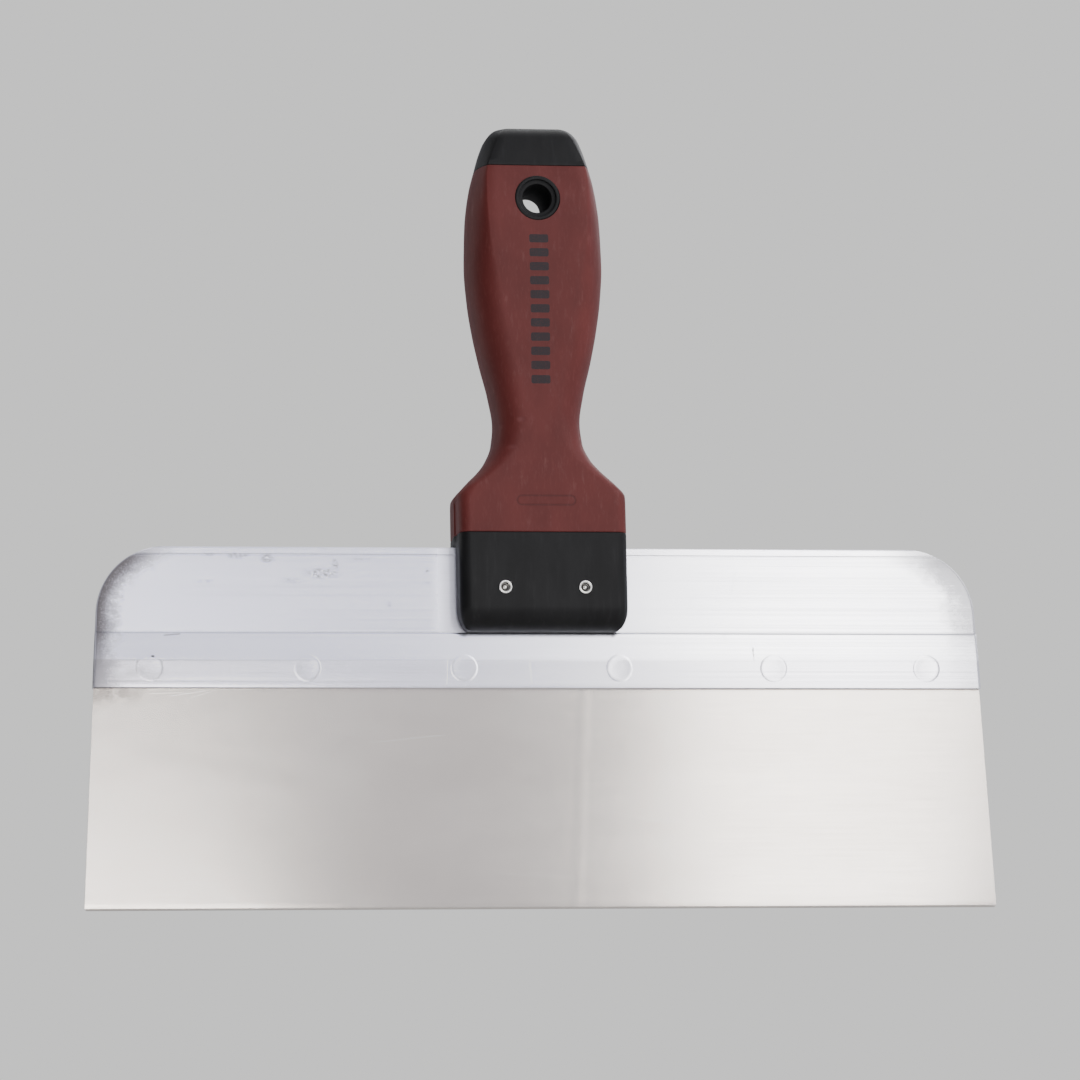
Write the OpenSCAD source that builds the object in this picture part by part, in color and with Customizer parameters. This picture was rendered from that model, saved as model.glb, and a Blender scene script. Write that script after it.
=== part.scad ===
// Drywall taping knife, 12 inch class: a thin spring-steel blade riveted into
// an aluminium backing, and a two-material handle that straddles the backing
// and is held by two tubular rivets.
// Millimetres. +Z runs up the handle, the spreading edge lies on Z = 0 along X,
// the front face looks towards -Y and the blade's mid plane is Y = 0.

/* [Blade] */
// Length of the spreading edge
edge_w = 304.8; // [300:0.2:310]
// Sheet thickness of the blade
blade_t = 0.6; // [0.4:0.1:0.6]
// Taper of each blade end from the vertical, in degrees
end_taper = 2.8; // [2:0.1:3.5]
// How far the blade runs up inside the backing
blade_grip = 15.6; // [14:0.2:15.8]

/* [Backing] */
// Height of the backing's lower edge above the spreading edge
backing_z0 = 73.2; // [71:0.2:74]
// Height of the step where the jaw thins to the flange
step_z = 91.8; // [91.4:0.1:92.2]
// Height of the backing's top edge
backing_z1 = 120.4; // [119:0.2:121]
// Thickness of the upper flange
flange_t = 2.4; // [2:0.1:2.5]
// Thickness of the jaw at its crease, the fattest place
jaw_t = 5.0; // [4.6:0.1:5.4]
// Radius of the two top corners
corner_r = 23; // [18:1:26]
// How far the backing's ends stand past the blade's ends
end_overhang = 0.2; // [0:0.1:0.5]

/* [Blade rivets] */
// Diameter of the flush rivet heads
flush_head_d = 9.2; // [8:0.2:10]
// Spacing of the six flush rivets
flush_pitch = 52.2; // [50:0.2:53]
// Height of the flush rivets above the edge
flush_z = 79.9; // [79:0.1:81]

/* [Handle] */
// Overall height of the knife
total_h = 262; // [261:0.2:264]
// Width of the base that clasps the backing
base_w = 57.2; // [55:0.2:59]
// Thickness of the base
base_d = 26.2; // [24:0.2:28]
// Width of the neck
neck_w = 29; // [27:0.5:31]
// Width of the palm swell
palm_w = 46; // [44:0.5:48]
// Thickness of the palm swell
palm_d = 28.4; // [27:0.2:30]
// Thickness of the soft grip sleeve
sleeve_t = 2.6; // [2:0.1:3]
// Where the sleeve starts above the base
sleeve_z0 = 124; // [123:0.2:126]
// Where the sleeve ends below the butt
sleeve_z1 = 248.2; // [247:0.2:249]

/* [Hang hole] */
// Diameter of the through hole
hang_d = 9.6; // [8:0.1:10.4]
// Diameter of the shallow recess around the hole
hang_recess_d = 12.6; // [11:0.2:13.4]
// Depth of the recess on each face
hang_recess = 1; // [0.5:0.1:1.5]
// Outer diameter of the hard ring that shows through the sleeve
hang_ring_d = 15.2; // [14.4:0.2:16]
// Length of the hard ring from the front face to the back face
hang_ring_h = 27.1; // [27:0.1:27.6]
// Height of the hole above the edge
hang_z = 236.8; // [235:0.2:238]

/* [Handle rivets] */
// Half the spacing of the two handle rivets
handle_rivet_x = 13.4; // [12:0.2:16]
// Height of the handle rivets above the edge
handle_rivet_z = 105.5; // [104:0.5:108]
// Shank diameter
handle_rivet_d = 3.1; // [2.8:0.1:3.4]
// Diameter of the rolled front end
rolled_d = 4.6; // [4.2:0.1:5]
// Diameter of the factory head on the back
factory_head_d = 6.4; // [5.8:0.2:7]

/* [Hidden] */
$fn = 64;

steel = [0.78, 0.77, 0.75];
alloy = [0.86, 0.87, 0.89];
black = [0.07, 0.07, 0.08];
rust = [0.42, 0.14, 0.12];
bright = [0.92, 0.91, 0.88];

play = 0.03;             // clearance of the sheet and flange fits
shank_play = 0.05;       // clearance of each rivet in its holes
flush_shank_d = 4.8;
flush_seat = 1.55;       // depth plane of the flush heads' seats, from Y = 0
blade_top = backing_z0 + blade_grip;
crease_z = 82.6;

// ---- helpers ---------------------------------------------------------------

// half length of a tapered end at height z
function end_half(z, extra = 0) = edge_w / 2 + extra - tan(end_taper) * z;

// extrude a drawing made in X (width) and Z (height) through the thickness t
module through(t) {
    translate([0, t / 2, 0]) rotate([90, 0, 0]) linear_extrude(height = t) children();
}

// a pin along Y between two planes
module pin(x, z, r, y0, y1) {
    translate([x, y1, z]) rotate([90, 0, 0]) cylinder(h = y1 - y0, r = r);
}

// ---- blade -----------------------------------------------------------------

flush_x = [for (i = [-2.5:1:2.5]) i * flush_pitch];
nip = 0.8;               // tiny chamfer at the edge's two corners

module blade() {
    color(steel) difference() {
        through(blade_t) polygon([
            [-end_half(0) + nip, 0], [end_half(0) - nip, 0], [end_half(nip), nip],
            [end_half(blade_top), blade_top], [-end_half(blade_top), blade_top],
            [-end_half(nip), nip]]);
        for (x = flush_x) pin(x, flush_z, flush_shank_d / 2 + shank_play, -2, 2);
    }
}

// ---- backing ---------------------------------------------------------------

// the extrusion's half section in Y (first) and Z (second): lip, crease,
// sloped shoulder, step and flange with a fine groove under its top edge
groove_z = backing_z1 - 2.2;
jaw_half = [
    [jaw_t / 2 - 0.75, backing_z0], [jaw_t / 2 - 0.5, backing_z0 + 0.25],
    [jaw_t / 2, crease_z], [jaw_t / 2 - 0.5, step_z - 0.25],
    [jaw_t / 2 - 0.75, step_z], [flange_t / 2, step_z],
    [flange_t / 2, groove_z - 0.3], [flange_t / 2 - 0.25, groove_z],
    [flange_t / 2, groove_z + 0.3], [flange_t / 2, backing_z1 - 0.2],
    [flange_t / 2 - 0.2, backing_z1]];
jaw_section = concat(jaw_half,
    [for (i = [len(jaw_half) - 1:-1:0]) [-jaw_half[i][0], jaw_half[i][1]]]);

// one top corner cut to a radius that is tangent to the top and the tapered end
module corner_cut(side) {
    zc = backing_z1 - corner_r;
    xc = end_half(zc, end_overhang) - corner_r / cos(end_taper);
    far = corner_r + 6;
    mirror([side < 0 ? 1 : 0, 0, 0]) difference() {
        through(12) polygon([[xc, zc], [xc + far, zc + far * tan(end_taper)],
            [xc + far, zc + far], [xc, zc + far]]);
        pin(xc, zc, corner_r, -8, 8);
    }
}

module backing() {
    color(alloy) difference() {
        intersection() {
            translate([-edge_w / 2, 0, 0]) rotate([90, 0, 90])
                linear_extrude(height = edge_w) polygon(jaw_section);
            through(12) polygon([
                [-end_half(70, end_overhang), 70], [end_half(70, end_overhang), 70],
                [end_half(125, end_overhang), 125], [-end_half(125, end_overhang), 125]]);
        }
        corner_cut(-1);
        corner_cut(1);
        // slot that takes the blade
        translate([-edge_w, -blade_t / 2 - play, backing_z0 - 1])
            cube([2 * edge_w, blade_t + 2 * play, blade_grip + 1.2]);
        // seats and holes of the flush rivets
        for (x = flush_x) {
            pin(x, flush_z, flush_shank_d / 2 + shank_play, -3, 3);
            pin(x, flush_z, flush_head_d / 2, flush_seat, 6);
            pin(x, flush_z, flush_head_d / 2, -6, -flush_seat);
        }
        for (s = [-1, 1])
            pin(s * handle_rivet_x, handle_rivet_z, handle_rivet_d / 2 + shank_play, -3, 3);
    }
}

// ---- flush rivets ----------------------------------------------------------

// the heads are dressed flush, so their faces follow the jaw's two slopes
module blade_rivet(i) {
    a = jaw_t / 2 + 0.2;
    h = flush_head_d / 2;
    s = flush_shank_d / 2;
    proud = 0.04;
    lip = jaw_t / 2 - 0.5;
    color(alloy) intersection() {
        translate([flush_x[i], 0, flush_z]) rotate([90, 0, 0])
            rotate_extrude() polygon([[0, -a], [h, -a], [h, -flush_seat],
                [s, -flush_seat], [s, flush_seat], [h, flush_seat], [h, a], [0, a]]);
        translate([flush_x[i] - 8, 0, 0]) rotate([90, 0, 90]) linear_extrude(height = 16)
            polygon([[lip + proud, backing_z0 + 0.25], [jaw_t / 2 + proud, crease_z],
                [lip + proud, step_z - 0.25], [-lip - proud, step_z - 0.25],
                [-jaw_t / 2 - proud, crease_z], [-lip - proud, backing_z0 + 0.25]]);
    }
}

// ---- handle form -----------------------------------------------------------

function mix(a, b, t) = a + (b - a) * t;

// stations up the handle: height, half width, half width of the front flat,
// half thickness, half height of the side flat
base_row = [base_w / 2, base_w / 2 - 4.2, base_d / 2, 9];
nw = neck_w / 2;
pw = palm_w / 2;
pd = palm_d / 2;
stations = [
    [97.0,  base_row[0], base_row[1], base_row[2], 9],
    [124.0, base_row[0], base_row[1], base_row[2], 9],
    [134.0, base_row[0], base_row[1] - 0.2, base_row[2] - 0.1, 8.8],
    [136.5, base_row[0] - 0.2, base_row[1] - 0.6, base_row[2] - 0.2, 8.2],
    [138.0, base_row[0] - 1.0, base_row[1] - 1.6, base_row[2] - 0.3, 7.8],
    [139.5, base_row[0] - 2.4, 22.2, 12.7, 7.2],
    [141.5, mix(nw, base_row[0], 0.7), 19.5, 12.6, 6.4],
    [145.0, mix(nw, base_row[0], 0.45), 15.0, 12.5, 5],
    [149.5, mix(nw, base_row[0], 0.2), 10.5, 12.3, 3.5],
    [155.0, mix(nw, base_row[0], 0.045), 7.0, 12.1, 2.2],
    [162.0, nw, 5.5, 12.0, 1.5],
    [171.5, mix(nw, pw, 0.165), 6.5, 12.4, 1.5],
    [182.5, mix(nw, pw, 0.475), 8.5, 13.1, 1.8],
    [193.0, mix(nw, pw, 0.725), 10.5, pd - 0.4, 2],
    [204.0, mix(nw, pw, 0.91), 12.5, pd - 0.1, 2.2],
    [215.0, pw, 14.5, pd, 2.5],
    [223.0, pw - 0.2, 16.0, pd - 0.1, 2.8],
    [231.0, pw - 0.6, 16.6, pd - 0.4, 3],
    [237.0, pw - 1.3, 16.9, pd - 0.7, 3],
    [243.0, pw - 2.4, 16.9, pd - 1.3, 3],
    [248.5, pw - 3.9, 16.2, pd - 2.1, 3],
    [254.0, pw - 5.5, 14.1, pd - 3.0, 3],
    [257.4, pw - 6.8, 12.6, pd - 3.8, 3]];

// smooth, never overshooting interpolation of column c at height z
function secant(i, c) = (stations[i + 1][c] - stations[i][c]) / (stations[i + 1][0] - stations[i][0]);
function slope(i, c) =
    i == 0 ? 0 : i == len(stations) - 1 ? secant(i - 1, c)
    : let(a = secant(i - 1, c), b = secant(i, c)) a * b <= 0 ? 0 : 2 * a * b / (a + b);
function seat(z, i = 0) = (i >= len(stations) - 2 || z <= stations[i + 1][0]) ? i : seat(z, i + 1);
function at(z, c) =
    let(i = seat(z), h = stations[i + 1][0] - stations[i][0],
        t = min(1, max(0, (z - stations[i][0]) / h)), t2 = t * t, t3 = t2 * t)
    (2 * t3 - 3 * t2 + 1) * stations[i][c] + (t3 - 2 * t2 + t) * h * slope(i, c)
    + (-2 * t3 + 3 * t2) * stations[i + 1][c] + (t3 - t2) * h * slope(i + 1, c);

// one closed outline of the handle at height z, shrunk by g all round:
// flats front, back and sides, joined by quarter ellipses
arc_n = 7;
function quarter(w, wf, d, ds) = [for (k = [0:arc_n]) let(a = 90 * k / arc_n)
    [wf + (w - wf) * sin(a), -(ds + (d - ds) * cos(a))]];
function outline(w, wf, d, ds) =
    let(q = quarter(w, wf, d, ds), n = len(q))
    concat(q,
        [for (k = [n - 1:-1:0]) [q[k][0], -q[k][1]]],
        [for (k = [0:n - 1]) [-q[k][0], -q[k][1]]],
        [for (k = [n - 1:-1:0]) [-q[k][0], q[k][1]]]);
ring_n = 4 * (arc_n + 1);
function ring(z, g = 0, zz = undef) =
    let(o = outline(at(z, 1) - g, max(at(z, 2) - g * 0.5, 1), at(z, 3) - g, max(at(z, 4) - g * 0.2, 0.5)))
    [for (p = o) [p[0], p[1], zz == undef ? z : zz]];

// triangles between consecutive rings from index a, then the two end caps
function wall(a, rows, flip = false) = [for (r = [0:rows - 2]) for (k = [0:ring_n - 1])
    let(p = a + r * ring_n + k, q = a + r * ring_n + (k + 1) % ring_n, u = p + ring_n, v = q + ring_n)
    each (flip ? [[p, q, v], [p, v, u]] : [[p, v, q], [p, u, v]])];

// heights of the rings: the base's rolled foot, the body, the butt's rolled top
foot_r = 97 - step_z;
foot_in = 4.2;
top_z = 257.4;
top_r = total_h - top_z;
foot = [for (a = [0:15:75]) [step_z + foot_r * (1 - cos(a)), foot_in * (1 - sin(a))]];
low_z = [97, sleeve_z0];
grip_z = concat([sleeve_z0], [for (z = [128, 132, 135, 137, 139, 141, 143, 145, 147.5, 150, 153,
    157, 161, 165, 170, 175, 180, 185, 190, 195, 200, 205, 210, 216, 222, 228, 234, 240, 245]) z],
    [sleeve_z1]);
butt_z = [sleeve_z1, 251, 254, 256, top_z];
crown = [15:15:90];
// one ring of the butt's crown: it leaves the body along the body's own slopes
// and turns over to the flat top
function crown_ring(a) =
    let(h = top_r * sin(a), k = 1 - cos(a),
        o = outline(at(top_z, 1) - 0.41 * h - 3.0 * k, at(top_z, 2) - 0.44 * h - 2.6 * k,
            at(top_z, 3) - 0.235 * h - 3.6 * k, at(top_z, 4)))
    [for (p = o) [p[0], p[1], top_z + h]];

module handle_core() {
    rings = concat(
        [for (f = foot) ring(97, f[1], f[0])],
        [for (z = low_z) ring(z)],
        [for (z = grip_z) ring(z, sleeve_t)],
        [for (z = butt_z) ring(z)],
        [for (a = crown) crown_ring(a)]);
    pts = [for (r = rings) each r];
    n = len(rings);
    y1 = hang_ring_h / 2;
    color(black) difference() {
        union() {
            polyhedron(points = pts, faces = concat(wall(0, n),
                [[for (k = [0:ring_n - 1]) k]],
                [[for (k = [ring_n - 1:-1:0]) (n - 1) * ring_n + k]]));
            pin(0, hang_z, hang_ring_d / 2, -y1, y1);
        }
        pin(0, hang_z, hang_d / 2, -20, 20);
        pin(0, hang_z, hang_recess_d / 2, y1 - hang_recess, 20);
        pin(0, hang_z, hang_recess_d / 2, -20, -y1 + hang_recess);
        // slot that straddles the backing's flange
        translate([-base_w, -flange_t / 2 - play, step_z - 2])
            cube([2 * base_w, flange_t + 2 * play, backing_z1 - step_z + 2.1]);
        for (s = [-1, 1])
            pin(s * handle_rivet_x, handle_rivet_z, handle_rivet_d / 2 + shank_play, -20, 20);
    }
}

module grip_sleeve() {
    outer = [for (z = grip_z) each ring(z)];
    inner = [for (z = grip_z) each ring(z, sleeve_t)];
    n = len(grip_z);
    m = n * ring_n;
    e = (n - 1) * ring_n;
    rim0 = [for (k = [0:ring_n - 1]) let(j = (k + 1) % ring_n)
        each [[k, j, m + j], [k, m + j, m + k]]];
    rim1 = [for (k = [0:ring_n - 1]) let(j = (k + 1) % ring_n)
        each [[e + k, m + e + j, e + j], [e + k, m + e + k, m + e + j]]];
    color(rust) difference() {
        polyhedron(points = concat(outer, inner),
            faces = concat(wall(0, n), wall(m, n, true), rim0, rim1));
        pin(0, hang_z, hang_ring_d / 2, -20, 20);
    }
}

// ---- handle rivets ---------------------------------------------------------

// semi-tubular rivet: rolled, hollow end in front, low oval head behind
module handle_rivet(s) {
    y = base_d / 2;
    r = handle_rivet_d / 2;
    f = factory_head_d / 2;
    p = rolled_d / 2;
    color(bright) translate([s * handle_rivet_x, 0, handle_rivet_z]) rotate([90, 0, 0])
        rotate_extrude() polygon([
            [0, -y - 1.0], [f * 0.45, -y - 0.92], [f * 0.8, -y - 0.6], [f, -y - 0.15], [f, -y],
            [r, -y], [r, y],
            [p, y], [p, y + 0.2], [p - 0.25, y + 0.5], [p - 0.5, y + 0.6], [p - 0.75, y + 0.5],
            [1.35, y + 0.1], [1.3, y - 1.2], [0, y - 1.6]]);
}

blade();
backing();
blade_rivet(0);  // blade_rivet_1
blade_rivet(1);  // blade_rivet_2
blade_rivet(2);  // blade_rivet_3
blade_rivet(3);  // blade_rivet_4
blade_rivet(4);  // blade_rivet_5
blade_rivet(5);  // blade_rivet_6
handle_core();
grip_sleeve();
handle_rivet(-1);  // handle_rivet_left
handle_rivet(1);  // handle_rivet_right
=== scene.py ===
import bpy
import math
import numpy as np
from mathutils import Matrix, Vector

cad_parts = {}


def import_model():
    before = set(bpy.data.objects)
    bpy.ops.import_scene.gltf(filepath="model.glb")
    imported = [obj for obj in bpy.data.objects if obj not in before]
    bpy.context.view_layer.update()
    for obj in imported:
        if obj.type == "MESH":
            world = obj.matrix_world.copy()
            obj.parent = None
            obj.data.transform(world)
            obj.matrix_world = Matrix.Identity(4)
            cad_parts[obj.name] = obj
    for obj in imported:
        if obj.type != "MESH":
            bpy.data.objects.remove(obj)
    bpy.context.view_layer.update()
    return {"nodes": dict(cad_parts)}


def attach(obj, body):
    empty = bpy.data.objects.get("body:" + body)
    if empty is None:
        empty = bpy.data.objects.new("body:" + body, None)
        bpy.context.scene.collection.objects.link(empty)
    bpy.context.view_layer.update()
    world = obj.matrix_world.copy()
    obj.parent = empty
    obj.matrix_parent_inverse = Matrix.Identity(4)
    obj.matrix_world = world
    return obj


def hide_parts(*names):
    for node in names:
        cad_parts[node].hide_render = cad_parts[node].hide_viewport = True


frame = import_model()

MM = 0.001


# ---------------------------------------------------------------------------
# camera
# ---------------------------------------------------------------------------

def make_camera():
    az, el, roll = math.radians(-9.454), math.radians(-9.034), math.radians(-1.197)
    dist, focal_px = 2.0753, 6231.9
    aim = Vector((0.00065, 0.0, 0.1233))
    back = Vector((math.sin(az) * math.cos(el), -math.cos(az) * math.cos(el), math.sin(el)))
    right = Vector((math.cos(az), math.sin(az), 0.0))
    up = back.cross(right)
    r = math.cos(roll) * right + math.sin(roll) * up
    u = -math.sin(roll) * right + math.cos(roll) * up
    m = Matrix.Identity(4)
    for i in range(3):
        m[i][0], m[i][1], m[i][2] = r[i], u[i], back[i]
    m.translation = aim + back * dist
    cam = bpy.data.cameras.new("camera")
    cam.sensor_width = 36.0
    cam.lens = focal_px / 1080.0 * 36.0
    cam.clip_start, cam.clip_end = 0.05, 60.0
    ob = bpy.data.objects.new("camera", cam)
    bpy.context.scene.collection.objects.link(ob)
    ob.matrix_world = m
    bpy.context.scene.camera = ob
    return ob


camera = make_camera()


# ---------------------------------------------------------------------------
# small mesh helpers
# ---------------------------------------------------------------------------

def mesh_object(name, verts_mm, faces, sharp_deg=40.0):
    me = bpy.data.meshes.new(name)
    me.from_pydata([tuple(float(c) * MM for c in v) for v in verts_mm], [], [tuple(f) for f in faces])
    me.validate()
    me.update()
    ob = bpy.data.objects.new(name, me)
    bpy.context.scene.collection.objects.link(ob)
    shade(ob, sharp_deg)
    return ob


def shade(ob, sharp_deg=40.0):
    me = ob.data
    me.polygons.foreach_set("use_smooth", [True] * len(me.polygons))
    me.set_sharp_from_angle(angle=math.radians(sharp_deg))
    me.update()


def fix_normals(ob):
    import bmesh
    bm = bmesh.new()
    bm.from_mesh(ob.data)
    bmesh.ops.remove_doubles(bm, verts=bm.verts, dist=1e-7)
    bmesh.ops.recalc_face_normals(bm, faces=bm.faces)
    bm.to_mesh(ob.data)
    bm.free()


def apply_modifiers(ob):
    dg = bpy.context.evaluated_depsgraph_get()
    dg.update()
    me = bpy.data.meshes.new_from_object(ob.evaluated_get(dg))
    old = ob.data
    ob.modifiers.clear()
    ob.data = me
    me.name = ob.name
    bpy.data.meshes.remove(old)


def boolean(ob, cutters, op="DIFFERENCE"):
    for c in cutters:
        m = ob.modifiers.new("cut", "BOOLEAN")
        m.operation = op
        m.solver = "EXACT"
        m.object = c
    apply_modifiers(ob)
    for c in cutters:
        me = c.data
        bpy.data.objects.remove(c)
        bpy.data.meshes.remove(me)


def lathe_y(name, profile, x, z, seg=64, closed=False, sharp_deg=40.0):
    """A turned piece about an axis along Y through (x, z). profile is (radius, y) in mm.
    A closed profile is a ring; an open one starts and ends on the axis."""
    verts, faces = [], []
    n = len(profile)
    for k in range(seg):
        a = 2 * math.pi * k / seg
        for r, y in profile:
            verts.append((x + r * math.cos(a), y, z + r * math.sin(a)))
    for k in range(seg):
        j = (k + 1) % seg
        for i in range(n if closed else n - 1):
            i2 = (i + 1) % n
            faces.append((k * n + i, j * n + i, j * n + i2, k * n + i2))
    ob = mesh_object(name, verts, faces, sharp_deg)
    fix_normals(ob)
    shade(ob, sharp_deg)
    return ob


def box_mesh(name, lo, hi):
    v = [(x, y, z) for x in (lo[0], hi[0]) for y in (lo[1], hi[1]) for z in (lo[2], hi[2])]
    f = [(0, 1, 3, 2), (4, 6, 7, 5), (0, 4, 5, 1), (2, 3, 7, 6), (0, 2, 6, 4), (1, 5, 7, 3)]
    return mesh_object(name, v, f)


def join(name, obs):
    """Several meshes as one object."""
    verts, faces, off = [], [], 0
    for o in obs:
        verts += [tuple(v.co) for v in o.data.vertices]
        faces += [tuple(i + off for i in p.vertices) for p in o.data.polygons]
        off = len(verts)
    me = bpy.data.meshes.new(name)
    me.from_pydata(verts, [], faces)
    me.update()
    ob = bpy.data.objects.new(name, me)
    bpy.context.scene.collection.objects.link(ob)
    for o in obs:
        m = o.data
        bpy.data.objects.remove(o)
        bpy.data.meshes.remove(m)
    return ob


# ---------------------------------------------------------------------------
# the design's dimensions, as in the CAD model (millimetres)
# ---------------------------------------------------------------------------

EDGE_W, BLADE_T, END_TAPER, BLADE_GRIP = 304.8, 0.6, math.radians(2.8), 15.6
BACK_Z0, STEP_Z, BACK_Z1, FLANGE_T, JAW_T = 73.2, 91.8, 120.4, 2.4, 5.0
CORNER_R, OVERHANG, CREASE_Z = 23.0, 0.2, 82.6
FLUSH_D, FLUSH_PITCH, FLUSH_Z, FLUSH_SEAT = 9.2, 52.2, 79.9, 1.55
TOTAL_H, BASE_W, BASE_D, NECK_W, PALM_W, PALM_D = 262.0, 57.2, 26.2, 29.0, 46.0, 28.4
SLEEVE_T, SLEEVE_Z0, SLEEVE_Z1 = 2.6, 124.0, 248.2
HANG_D, RECESS_D, RECESS, RING_D, RING_H, HANG_Z = 9.6, 12.6, 1.0, 15.2, 27.1, 236.8
HRX, HRZ, HRD, ROLLED_D, HEAD_D = 13.4, 105.5, 3.1, 4.6, 6.4


def end_half(z, extra=0.0):
    return EDGE_W / 2 + extra - math.tan(END_TAPER) * z


def mix(a, b, t):
    return a + (b - a) * t


# ---------------------------------------------------------------------------
# handle loft
# ---------------------------------------------------------------------------

_b, _nw, _pw, _pd = BASE_W / 2, NECK_W / 2, PALM_W / 2, PALM_D / 2
STATIONS = np.array([
    [97.0, _b, _b - 4.2, BASE_D / 2, 9],
    [124.0, _b, _b - 4.2, BASE_D / 2, 9],
    [134.0, _b, _b - 4.4, BASE_D / 2 - 0.1, 8.8],
    [136.5, _b - 0.2, _b - 4.8, BASE_D / 2 - 0.2, 8.2],
    [138.0, _b - 1.0, _b - 5.8, BASE_D / 2 - 0.3, 7.8],
    [139.5, _b - 2.4, 22.2, 12.7, 7.2],
    [141.5, mix(_nw, _b, 0.7), 19.5, 12.6, 6.4],
    [145.0, mix(_nw, _b, 0.45), 15.0, 12.5, 5],
    [149.5, mix(_nw, _b, 0.2), 10.5, 12.3, 3.5],
    [155.0, mix(_nw, _b, 0.045), 7.0, 12.1, 2.2],
    [162.0, _nw, 5.5, 12.0, 1.5],
    [171.5, mix(_nw, _pw, 0.165), 6.5, 12.4, 1.5],
    [182.5, mix(_nw, _pw, 0.475), 8.5, 13.1, 1.8],
    [193.0, mix(_nw, _pw, 0.725), 10.5, _pd - 0.4, 2],
    [204.0, mix(_nw, _pw, 0.91), 12.5, _pd - 0.1, 2.2],
    [215.0, _pw, 14.5, _pd, 2.5],
    [223.0, _pw - 0.2, 16.0, _pd - 0.1, 2.8],
    [231.0, _pw - 0.6, 16.6, _pd - 0.4, 3],
    [237.0, _pw - 1.3, 16.9, _pd - 0.7, 3],
    [243.0, _pw - 2.4, 16.9, _pd - 1.3, 3],
    [248.5, _pw - 3.9, 16.2, _pd - 2.1, 3],
    [254.0, _pw - 5.5, 14.1, _pd - 3.0, 3],
    [257.4, _pw - 6.8, 12.6, _pd - 3.8, 3]])
TOP_Z = 257.4


def _slopes():
    z = STATIONS[:, 0]
    sec = (STATIONS[1:, 1:] - STATIONS[:-1, 1:]) / (z[1:] - z[:-1])[:, None]
    m = np.zeros((len(z), 4))
    for i in range(1, len(z) - 1):
        for c in range(4):
            a, b = sec[i - 1, c], sec[i, c]
            m[i, c] = 0.0 if a * b <= 0 else 2 * a * b / (a + b)
    m[-1] = sec[-1]
    return m


_M = _slopes()


def at(z):
    i = int(np.clip(np.searchsorted(STATIONS[:, 0], z) - 1, 0, len(STATIONS) - 2))
    h = STATIONS[i + 1, 0] - STATIONS[i, 0]
    t = min(1.0, max(0.0, (z - STATIONS[i, 0]) / h))
    t2, t3 = t * t, t * t * t
    return ((2 * t3 - 3 * t2 + 1) * STATIONS[i, 1:] + (t3 - 2 * t2 + t) * h * _M[i]
            + (-2 * t3 + 3 * t2) * STATIONS[i + 1, 1:] + (t3 - t2) * h * _M[i + 1])


def smooth(a, b, t):
    t = min(1.0, max(0.0, (t - a) / (b - a)))
    return t * t * (3 - 2 * t)


ARC_N = 14
FLAT_N = 5


def outline(z, g=0.0, outer=True):
    """Closed outline at height z, shrunk by g, as (x, y) points in mm, always the same count."""
    w, wf, d, ds = at(z)
    w, wf, d, ds = w - g, max(wf - 0.5 * g, 1.0), d - g, max(ds - 0.2 * g, 0.5)
    # parting band along the base's sides, fading to a hairline up the grip
    band = (0.40 * (1 - smooth(134.0, 139.0, z)) + 0.05) if outer and g < 0.6 else 0.0
    by = mix(2.6, 0.35, smooth(134.0, 142.0, z))
    p = 1.0 + 0.5 * smooth(196.0, 240.0, z)        # towards the butt the corners flatten into facets
    # beside the flange the band gives way to a shallow relief
    relief = 1 - smooth(121.0, 122.6, z)
    return closed_outline(w - band, wf, d, ds, by, mix(band, -0.45, relief) if band else 0.0, p)


def closed_outline(w, wf, d, ds, by, band, p):
    """Flats front, back and sides joined by quarter arcs; a band along the sides stands out by band."""
    by = min(by, ds * 0.7)
    quad = []
    for k in range(FLAT_N):                        # front flat, middle to its edge
        quad.append((wf * k / FLAT_N, -d))
    for k in range(ARC_N + 1):
        a = 0.5 * math.pi * k / ARC_N
        quad.append((wf + (w - wf) * math.sin(a) ** p, -(ds + (d - ds) * max(math.cos(a), 0.0) ** p)))
    # side flat: band's foot and top, then the middle
    quad.append((w, -min(by + 0.35, ds * 0.9)))
    quad.append((w + band, -by * 0.95))
    quad.append((w + band, 0.0))
    q = quad
    n = len(q)
    pts = list(q)                                               # +x, front to side middle
    pts += [(x, -y) for x, y in q[n - 2::-1]]                   # +x, side to back middle
    pts += [(-x, -y) for x, y in q[1:]]                         # -x, back to side middle
    pts += [(-x, y) for x, y in q[n - 2:0:-1]]                  # -x, side to front
    return pts


def crown_ring(a):
    """A ring of the butt's crown: it leaves the body along the body's slopes and turns over to the flat top."""
    h, k = (TOTAL_H - TOP_Z) * math.sin(a), 1 - math.cos(a)
    w, wf, d, ds = at(TOP_Z)
    pts = closed_outline(w - 0.05 - 0.41 * h - 3.0 * k, wf - 0.44 * h - 2.6 * k, d - 0.235 * h - 3.6 * k, ds,
                         0.35, 0.05, 1.5)
    return [(x, y, TOP_Z + h) for x, y in pts]


def ring(z, g=0.0, zz=None, outer=True):
    h = z if zz is None else zz
    return [(x, y, h) for x, y in outline(z, g, outer)]


def tube_faces(a, rows, n, flip=False):
    out = []
    for r in range(rows - 1):
        for k in range(n):
            p, q = a + r * n + k, a + r * n + (k + 1) % n
            f = (p, q, q + n, p + n)
            out.append(f[::-1] if flip else f)
    return out


def lip(z, direction, r=0.32):
    """Rings that round an end of a solid: (height, inset) from the end inwards."""
    out = []
    for a in (0, 30, 60, 90):
        a = math.radians(a)
        out.append((z + direction * r * (1 - math.cos(a)), r * (1 - math.sin(a))))
    return out


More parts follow.
